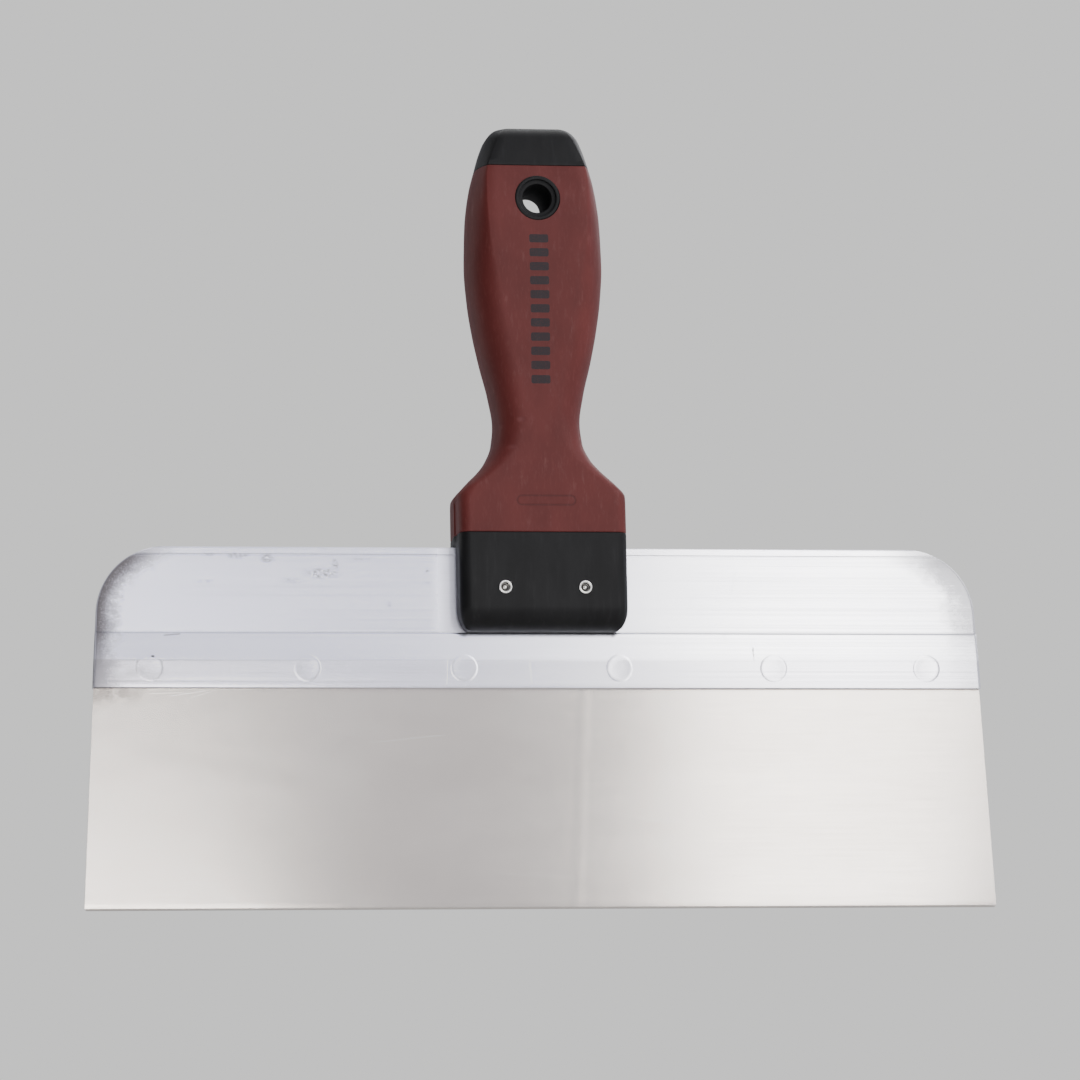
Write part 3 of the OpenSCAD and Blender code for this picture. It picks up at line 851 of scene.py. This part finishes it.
def mat_backing(name="backing_alloy", rivet=False):
    n = Nodes(name)
    co = n.co()
    x, y, z = n.xyz()
    lines = n.noise(n.scale(co, 0.004, 0.3, 2.2), 1.0, 4.0, 0.7)
    fine = n.noise(n.scale(co, 0.03, 0.5, 8.0), 1.0, 3.0, 0.6)
    cloud = n.noise(n.scale(co, 0.02, 0.05, 0.06), 1.0, 3.0, 0.5)
    gritty = n.noise(co, 1.25, 4.0, 0.75)
    base = n.mixc(n.ramp(cloud, 0.3, 0.7), (0.88, 0.88, 0.925), (0.95, 0.95, 0.975))
    # painted reflection: towards the left the alloy is painted darker and bluer, like the dimmer, cooler surroundings
    # it mirrors there
    base = n.mixc(n.ramp(x, 60.0, -60.0, 0.0, 0.55), base, (0.70, 0.70, 0.88))
    base = n.mixc(n.mul(n.ramp(lines, 0.46, 0.66), 0.16), base, (0.60, 0.60, 0.65))
    # painted shade: the drawn lower band is painted darker, most at the left, to tone down its reflection there
    low = n.ramp(z, CREASE_Z + 0.3, CREASE_Z - 0.3)
    base = n.mixc(n.mul(low, n.ramp(x, -150.0, -40.0, 0.90, 0.40)), base, (0.50, 0.49, 0.53))
    # dark burnish along the rounded ends, thinning to specks further in
    zc = BACK_Z1 - CORNER_R
    xc = end_half(zc, OVERHANG) - CORNER_R / math.cos(END_TAPER)
    ax = n.add(n.absv(x), n.mul(n.minv(n.sub(z, zc), 0.0), math.tan(END_TAPER)))
    raw = n.sub(ax, xc)
    px = n.maxv(raw, 0.0)
    pz = n.maxv(n.sub(z, zc), 0.0)
    rho = n.math("SQRT", n.add(n.mul(px, px), n.mul(pz, pz)))
    d = n.sub(CORNER_R, rho)                                  # mm in from the end's outline
    s1 = n.noise(co, 1.5, 4.0, 0.75)
    s2 = n.noise(n.scale(co, 0.22, 0.3, 0.30), 1.0, 3.0, 0.6)
    reach = n.add(8.8, n.mul(n.ramp(s2, 0.3, 0.7), 4.0))
    reach = n.mul(reach, n.ramp(raw, -8.0, 10.0, 0.55, 1.0))
    reach = n.mul(reach, n.ramp(x, -40.0, 40.0, 1.0, 1.25))
    fall = n.math("SUBTRACT", 1.0, n.div(d, reach), clamp=True)
    haze = n.ramp(fall, 0.0, 0.95)
    s3 = n.noise(co, 3.2, 3.0, 0.7)
    speck = n.ramp(n.add(fall, n.mul(n.sub(n.add(n.mul(s1, 0.5), n.mul(s3, 0.5)), 0.5), 2.6)), 0.12, 0.95)
    dirt = n.math("ADD", n.mul(haze, 0.62), n.mul(n.mul(speck, n.ramp(fall, 0.0, 0.25)), 0.36), clamp=True)
    dirt = n.mul(dirt, n.ramp(raw, -12.0, 14.0))
    dirt = n.mul(dirt, n.ramp(z, BACK_Z1 - 2.6, BACK_Z1 - 3.4, 0.75, 1.0))
    dirt = n.mul(dirt, n.ramp(z, 72.0, 95.0, 0.62, 1.0))
    # the right end is rubbed much less, most of it round the corner's upper half
    right = n.mul(n.ramp(raw, 26.0, 10.0, 0.42, 0.62), n.ramp(z, 84.0, 96.0, 0.45, 1.0))
    dirt = n.mul(dirt, n.sub(1.0, n.mul(n.ramp(x, -40.0, 40.0), n.sub(1.0, right))))
    # painted highlight: the burnish thins at the very edge, leaving a light rim where the bevelled end catches the
    # light
    dirt = n.mul(dirt, n.ramp(d, 0.05, 0.5, 0.55, 1.0))
    base = n.mixc(dirt, base, (0.105, 0.095, 0.097))
    front = n.ramp(y, 0.0, -0.4)
    # the jaw's left end is handled dull
    dull = n.mul(n.blob(x, z, -148.0, 76.5, 30.0, 8.5, 1.0), n.ramp(n.noise(n.scale(co, 0.25, 0.3, 0.5), 1.0, 4.0, 0.6), 0.25, 0.6, 0.55, 1.0))
    base = n.mixc(n.mul(dull, 0.60), base, (0.26, 0.25, 0.27))
    # and so is the lower lip along the left half
    lower = n.mul(n.ramp(z, BACK_Z0 + 3.0, BACK_Z0 + 1.2), n.ramp(x, -20.0, -90.0))
    base = n.mixc(n.mul(lower, 0.16), base, (0.30, 0.29, 0.32))
    # one dark speck at the upper edge of the first flush rivet
    spot = n.mul(n.blob(x, z, -129.4, 83.6, 0.85, 0.55, 0.6), front)
    base = n.mixc(n.mul(spot, 0.85), base, (0.05, 0.048, 0.048))
    if rivet:
        fx = n.mul(n.sub(n.math("FRACT", n.div(x, FLUSH_PITCH)), 0.5), FLUSH_PITCH)
        fz = n.sub(z, FLUSH_Z)
        fr = n.math("SQRT", n.add(n.mul(fx, fx), n.mul(fz, fz)))
        # painted shade: a dark ring round each flush rivet, heaviest on its lower side
        ring_shade = n.mul(n.ramp(n.absv(n.sub(fr, 4.15)), 0.75, 0.0), n.ramp(fz, 4.0, -3.0, 0.25, 1.0))
        ring_shade = n.mul(ring_shade, n.ramp(n.noise(n.scale(co, 0.25, 0.3, 0.3), 1.0, 3.0, 0.6), 0.3, 0.6, 0.45, 1.0))
        base = n.mixc(n.mul(ring_shade, 0.26), base, (0.25, 0.24, 0.26))
    # scuffs and specks picked up on the front's left flange
    if not rivet:
        rag = n.ramp(n.noise(n.scale(co, 0.9, 1.0, 1.5), 1.0, 5.0, 0.75), 0.42, 0.60)
        sc = None
        for cx, cz, rx, rz, k in ((-101.0, 117.4, 5.5, 1.5, 0.9), (-91.0, 116.6, 3.6, 2.3, 1.0), (-110.5, 117.8, 3.0, 1.0, 0.8),
                                  (-73.0, 111.6, 8.5, 2.6, 1.0), (-68.3, 114.6, 1.6, 2.8, 1.0), (-112.0, 108.8, 5.0, 1.2, 0.45),
                                  (-83.0, 109.0, 6.0, 1.6, 0.55), (-37.9, 112.6, 1.1, 0.9, 1.0), (-37.9, 108.5, 0.9, 0.8, 0.8),
                                  (-50.6, 101.3, 1.6, 1.2, 0.7), (62.0, 90.5, 1.0, 3.0, 0.5), (-60.0, 116.5, 5.0, 1.0, 0.5)):
            m = n.mul(n.blob(x, z, cx, cz, rx, rz, 0.8), k)
            sc = m if sc is None else n.maxv(sc, m)
        sc = n.mul(n.mul(sc, rag), front)
        base = n.mixc(n.mul(sc, 0.75), base, (0.15, 0.15, 0.17))
        # painted shade: a dark line in the step's root
        root = n.mul(n.ramp(z, STEP_Z - 0.35, STEP_Z), n.ramp(z, STEP_Z + 0.75, STEP_Z + 0.3))
        base = n.mixc(n.mul(root, n.ramp(x, -40.0, 40.0, 0.22, 0.42)), base, (0.20, 0.20, 0.22))
        marks = n.maxv(n.stroke(x, z, -31.6, 82.8, -31.9, 74.2, 0.28), n.stroke(x, z, -4.4, 84.5, -3.4, 74.6, 0.24))
        base = n.mixc(n.mul(n.mul(marks, front), 0.75), base, (1.0, 1.0, 1.0))
        dark = n.stroke(x, z, 71.4, 89.3, 71.6, 80.3, 0.42)
        dark = n.mul(dark, n.ramp(n.noise(n.scale(co, 1.0, 1.0, 0.45), 1.0, 2.0, 0.5), 0.44, 0.60))
        thin = n.mul(n.stroke(x, z, 66.6, 113.8, 64.7, 104.6, 0.22), 0.28)
        dash = n.mul(n.stroke(x, z, -126.0, 90.6, -119.9, 91.1, 0.34), 0.7)
        dark = n.maxv(n.maxv(dark, thin), dash)
        base = n.mixc(n.mul(n.mul(dark, front), 0.80), base, (0.07, 0.068, 0.068))
        # nicks along the top edge
        nick = n.mul(n.ramp(z, BACK_Z1 - 2.8, BACK_Z1 - 1.9), n.ramp(n.noise(n.scale(co, 0.35, 0.2, 1.2), 1.0, 3.0, 0.7), 0.60, 0.70))
        base = n.mixc(n.mul(nick, 0.35), base, (0.22, 0.22, 0.24))
    rough = n.add(n.mul(n.ramp(lines, 0.35, 0.65), 0.05), n.add(0.165, n.mul(dirt, 0.26)))
    # rubbed matt just beside the handle's base, with painted shade there on the base's left, where the base shades
    # the flange
    base_matt_and_shade = n.mul(n.mul(n.ramp(x, -37.0, -30.5), n.ramp(x, -10.0, -20.0)), n.ramp(z, STEP_Z - 0.2, STEP_Z + 0.8))
    rough = n.add(rough, n.mul(base_matt_and_shade, 0.24))
    base = n.mixc(n.mul(base_matt_and_shade, 0.25), base, (0.45, 0.45, 0.48))
    n.put(n.bsdf.inputs["Base Color"], base)
    brushed(n, rough, 0.65)
    nb = n.bump(lines, 0.010, 0.5)
    nb = n.bump(fine, 0.003, 0.4, nb)
    nb = n.bump(n.mul(gritty, dirt), 0.04, 0.4, nb)
    n.link(nb, n.bsdf.inputs["Normal"])
    return n.mat


def mat_core():
    n = Nodes("core_plastic")
    co = n.co()
    x, y, z = n.xyz()
    tex = n.noise(co, 4.0, 3.0, 0.6)
    cloud = n.noise(n.scale(co, 0.10, 0.1, 0.035), 1.0, 4.0, 0.6)
    smear = n.noise(n.scale(co, 0.45, 0.3, 0.05), 1.0, 4.0, 0.65)
    dust = n.noise(co, 1.6, 4.0, 0.8)
    base = n.mixc(n.ramp(cloud, 0.35, 0.7), (0.0064, 0.0063, 0.0062), (0.0105, 0.0103, 0.0102))
    base = n.mixc(n.mul(n.ramp(smear, 0.52, 0.80), 0.22), base, (0.034, 0.034, 0.034))
    base = n.mixc(n.mul(n.ramp(dust, 0.66, 0.78), 0.25), base, (0.07, 0.07, 0.07))
    hz = n.sub(z, HANG_Z)
    bore = n.math("SQRT", n.add(n.mul(x, x), n.mul(hz, hz)))
    n.bsdf.inputs["Specular IOR Level"].default_value = 0.19
    # painted shade: the hang hole's bore is painted darker inside, and it is rougher there
    inside = n.ramp(bore, HANG_D / 2 + 0.3, HANG_D / 2 + 0.05)
    base = n.mixc(n.mul(inside, 0.8), base, (0.0022, 0.0020, 0.0019))
    n.put(n.bsdf.inputs["Base Color"], base)
    n.put(n.bsdf.inputs["Roughness"], n.add(n.mul(inside, 0.50), n.add(n.mul(n.ramp(smear, 0.4, 0.75), -0.05), n.add(n.mul(tex, 0.06), 0.45))))
    nb = n.bump(tex, 0.02, 0.30)
    nb = n.bump(smear, 0.03, 0.08, nb)
    n.link(nb, n.bsdf.inputs["Normal"])
    return n.mat


def mat_grip():
    n = Nodes("grip_rubber")
    co = n.co()
    x, y, z = n.xyz()
    tex = n.noise(co, 5.0, 3.0, 0.6)
    cloud = n.noise(n.scale(co, 0.07, 0.07, 0.04), 1.0, 4.0, 0.55)
    fine = n.noise(n.scale(co, 1.4, 1.4, 0.35), 1.0, 3.0, 0.6)
    rub = n.noise(n.scale(co, 0.5, 0.5, 0.14), 1.0, 4.0, 0.7)
    base = n.mixc(n.ramp(cloud, 0.3, 0.72), (0.102, 0.0172, 0.0142), (0.134, 0.0250, 0.0212))
    base = n.mixc(n.mul(n.ramp(fine, 0.5, 0.75), 0.22), base, (0.19, 0.048, 0.042))
    base = n.mixc(n.mul(n.ramp(rub, 0.56, 0.74), 0.16), base, (0.26, 0.095, 0.085))
    # printed index bars down the front: plain rounded bars, evenly spaced
    pitch, z_lo, z_hi = 4.75, 173.0, 225.2
    t = n.math("FRACT", n.div(n.sub(z, z_lo), pitch))
    dz = n.absv(n.mul(n.sub(t, 0.5), pitch))
    dx = n.absv(x)
    qx = n.maxv(n.sub(dx, 2.55), 0.0)
    qz = n.maxv(n.sub(dz, 0.75), 0.0)
    sd = n.sub(n.math("SQRT", n.add(n.mul(qx, qx), n.mul(qz, qz))), 0.65)
    bar = n.mul(n.ramp(sd, 0.08, -0.08), n.mul(n.ramp(z, z_lo - 0.02, z_lo), n.ramp(z, z_hi + 0.02, z_hi)))
    bar = n.mul(bar, n.ramp(y, -5.0, -6.0))
    wear = n.ramp(n.noise(co, 2.2, 3.0, 0.7), 0.62, 0.50)
    base = n.mixc(n.mul(bar, n.add(n.mul(wear, 0.20), 0.76)), base, (0.022, 0.017, 0.019))
    # a plain pressed oval low on the front
    px = n.maxv(n.sub(n.absv(n.sub(x, 0.9)), 8.2), 0.0)
    pz = n.sub(z, 134.6)
    pr = n.absv(n.sub(n.math("SQRT", n.add(n.mul(px, px), n.mul(pz, pz))), 1.55))
    pill = n.mul(n.ramp(pr, 0.60, 0.05), n.ramp(y, -5.0, -6.0))
    base = n.mixc(n.mul(pill, 0.38), base, (0.045, 0.012, 0.011))
    # two small dents at the neck, painted a little lighter as a highlight
    dent_and_highlight = n.maxv(n.blob(x, z, -6.7, 162.0, 2.0, 1.5, 1.0), n.mul(n.blob(x, z, -9.9, 152.7, 2.6, 1.3, 1.0), 0.7))
    dent_and_highlight = n.mul(dent_and_highlight, n.ramp(y, -5.0, -6.0))
    base = n.mixc(n.mul(dent_and_highlight, 0.20), base, (0.24, 0.10, 0.10))
    n.bsdf.inputs["Specular IOR Level"].default_value = 0.25
    n.put(n.bsdf.inputs["Base Color"], base)
    n.put(n.bsdf.inputs["Roughness"], n.add(n.mul(cloud, 0.08), n.add(n.mul(n.ramp(rub, 0.5, 0.7), -0.06), 0.50)))
    nb = n.bump(tex, 0.02, 0.30)
    nb = n.bump(fine, 0.015, 0.25, nb)
    nb = n.bump(pill, -0.12, 0.6, nb)
    nb = n.bump(dent_and_highlight, -0.35, 0.6, nb)
    n.link(nb, n.bsdf.inputs["Normal"])
    return n.mat


def mat_rivet():
    n = Nodes("handle_rivet_steel")
    co = n.co()
    sc = n.noise(co, 2.5, 4.0, 0.6)
    x, y, z = n.xyz()
    base = n.mixc(n.ramp(sc, 0.4, 0.7), (0.88, 0.87, 0.82), (0.72, 0.71, 0.66))
    # painted shade: the hollow ends are painted dark down inside
    hollow_shade = n.mul(n.ramp(y, -BASE_D / 2 + 0.15, -BASE_D / 2 + 0.9), n.ramp(y, 6.0, 5.0))
    base = n.mixc(n.mul(hollow_shade, 0.80), base, (0.14, 0.135, 0.13))
    n.put(n.bsdf.inputs["Base Color"], base)
    n.bsdf.inputs["Metallic"].default_value = 1.0
    n.put(n.bsdf.inputs["Roughness"], n.add(n.mul(sc, 0.12), 0.14))
    n.link(n.bump(sc, 0.02, 0.3), n.bsdf.inputs["Normal"])
    return n.mat


def set_mat(ob, m):
    ob.data.materials.clear()
    ob.data.materials.append(m)


# ---------------------------------------------------------------------------
# build and place everything
# ---------------------------------------------------------------------------

M_BLADE, M_BACK, M_FLUSH = mat_blade(), mat_backing(), mat_backing("flush_rivet_alloy", True)
M_CORE, M_GRIP, M_RIVET = mat_core(), mat_grip(), mat_rivet()


def place(ob, mat, slot, *nodes):
    set_mat(ob, mat)
    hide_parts(*nodes)
    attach(ob, "root")
    return ob


place(build_blade(), M_BLADE, "blade_steel", "blade")
place(build_backing(), M_BACK, "backing_alloy", "backing")
for i in range(6):
    place(build_flush_rivet(i), M_FLUSH, "flush_rivet_alloy", f"blade_rivet_{i + 1}")
place(build_core(), M_CORE, "core_plastic", "handle_core")
place(build_sleeve(), M_GRIP, "grip_rubber", "grip_sleeve")
place(build_handle_rivet(-1), M_RIVET, "handle_rivet_steel", "handle_rivet_left")
place(build_handle_rivet(1), M_RIVET, "handle_rivet_steel", "handle_rivet_right")

# any CAD node still showing gets the backing's finish as well
for o in frame["nodes"].values():
    if not o.hide_render and o.type == "MESH":
        set_mat(o, M_BACK)


# ---------------------------------------------------------------------------
# floor, studio and lights
# ---------------------------------------------------------------------------

def floor():
    s = 9.0
    ob = mesh_object("floor", [(-s * 1000, -s * 1000, 0), (s * 1000, -s * 1000, 0), (s * 1000, s * 1000, 0), (-s * 1000, s * 1000, 0)],
                     [(0, 1, 2, 3)])
    m = bpy.data.materials.new("floor")
    m.use_nodes = True
    t = m.node_tree
    t.nodes.clear()
    out = t.nodes.new("ShaderNodeOutputMaterial")
    mixs = t.nodes.new("ShaderNodeMixShader")
    geo = t.nodes.new("ShaderNodeNewGeometry")
    tr = t.nodes.new("ShaderNodeBsdfTransparent")
    df = t.nodes.new("ShaderNodeBsdfDiffuse")
    df.inputs["Color"].default_value = (0.86, 0.858, 0.85, 1.0)
    # the floor is seen from above only, and melts into the backdrop a few metres out
    tc = t.nodes.new("ShaderNodeTexCoord")
    far = t.nodes.new("ShaderNodeVectorMath")
    far.operation = "LENGTH"
    t.links.new(tc.outputs["Object"], far.inputs[0])
    fade = t.nodes.new("ShaderNodeMapRange")
    fade.interpolation_type = "SMOOTHSTEP"
    t.links.new(far.outputs["Value"], fade.inputs["Value"])
    fade.inputs["From Min"].default_value = 0.5
    fade.inputs["From Max"].default_value = 2.6
    either = t.nodes.new("ShaderNodeMath")
    either.operation = "MAXIMUM"
    t.links.new(geo.outputs["Backfacing"], either.inputs[0])
    t.links.new(fade.outputs["Result"], either.inputs[1])
    t.links.new(either.outputs[0], mixs.inputs[0])
    t.links.new(df.outputs[0], mixs.inputs[1])
    t.links.new(tr.outputs[0], mixs.inputs[2])
    t.links.new(mixs.outputs[0], out.inputs["Surface"])
    set_mat(ob, m)
    ob.visible_diffuse = False
    return ob


floor()


def world():
    """A plain pale backdrop for the camera, and soft studio surroundings for everything else."""
    w = bpy.data.worlds.new("studio")
    bpy.context.scene.world = w
    w.use_nodes = True
    t = w.node_tree
    t.nodes.clear()
    out = t.nodes.new("ShaderNodeOutputWorld")
    room = t.nodes.new("ShaderNodeBackground")
    plain = t.nodes.new("ShaderNodeBackground")
    lp = t.nodes.new("ShaderNodeLightPath")
    mx = t.nodes.new("ShaderNodeMixShader")
    tc = t.nodes.new("ShaderNodeTexCoord")

    def lobe(direction, a, b, lo, hi):
        dot = t.nodes.new("ShaderNodeVectorMath")
        dot.operation = "DOT_PRODUCT"
        t.links.new(tc.outputs["Generated"], dot.inputs[0])
        dot.inputs[1].default_value = Vector(direction).normalized()
        r = t.nodes.new("ShaderNodeMapRange")
        r.interpolation_type = "SMOOTHSTEP"
        t.links.new(dot.outputs["Value"], r.inputs["Value"])
        for k, v in (("From Min", a), ("From Max", b), ("To Min", lo), ("To Max", hi)):
            r.inputs[k].default_value = v
        return r.outputs["Result"]

    front = lobe((0.55, -0.85, 0.30), -0.2, 1.0, ROOM_DARK, ROOM_FRONT)
    left = lobe((-1.0, -0.10, 0.05), 0.25, 0.95, 1.0, 0.30)
    back = lobe((0.75, 0.60, 0.30), 0.25, 1.0, 0.0, ROOM_BACK)
    m = t.nodes.new("ShaderNodeMath")
    m.operation = "MULTIPLY_ADD"
    t.links.new(front, m.inputs[0])
    t.links.new(left, m.inputs[1])
    t.links.new(back, m.inputs[2])
    room.inputs["Color"].default_value = (0.90, 0.91, 1.0, 1.0)
    t.links.new(m.outputs[0], room.inputs["Strength"])
    plain.inputs["Color"].default_value = (0.88, 0.88, 0.875, 1.0)
    plain.inputs["Strength"].default_value = 1.0
    t.links.new(lp.outputs["Is Camera Ray"], mx.inputs[0])
    t.links.new(room.outputs[0], mx.inputs[1])
    t.links.new(plain.outputs[0], mx.inputs[2])
    t.links.new(mx.outputs[0], out.inputs["Surface"])


ROOM_DARK, ROOM_FRONT, ROOM_BACK = 0.35, 1.18, 0.3
world()


def softbox(name, loc, target, sx, sy, radiance, color=(1, 1, 1), spread=180.0):
    """A plain rectangular softbox; radiance is the brightness of its face."""
    li = bpy.data.lights.new(name, "AREA")
    li.shape = "RECTANGLE"
    li.size, li.size_y = sx, sy
    li.energy = radiance * math.pi * sx * sy
    li.color = color
    li.spread = math.radians(spread)
    ob = bpy.data.objects.new(name, li)
    bpy.context.scene.collection.objects.link(ob)
    ob.location = loc
    d = Vector(target) - Vector(loc)
    ob.rotation_euler = d.to_track_quat("-Z", "Y").to_euler()
    ob.visible_camera = False
    return ob


MID = (0.0, 0.0, 0.12)
softbox("strip_right", (0.66, -2.6, 0.60), MID, 0.23, 1.5, 8.0, (1.0, 0.985, 0.97))
softbox("strip_left", (0.06, -2.6, -0.045), MID, 0.28, 0.56, 14.0, (1.0, 0.98, 0.96))
softbox("key", (1.7, -1.5, 1.5), MID, 1.0, 1.2, 4.0, (1.0, 0.99, 0.98))
softbox("rim", (-1.5, 1.1, 0.5), MID, 0.5, 1.6, 2.1)
softbox("upper", (0.45, -2.4, 1.0), MID, 1.6, 0.5, 0.5)
softbox("top", (0.3, 0.8, 2.4), MID, 2.0, 2.0, 2.6)
softbox("back", (1.3, 2.0, 1.4), MID, 1.2, 1.2, 2.0)
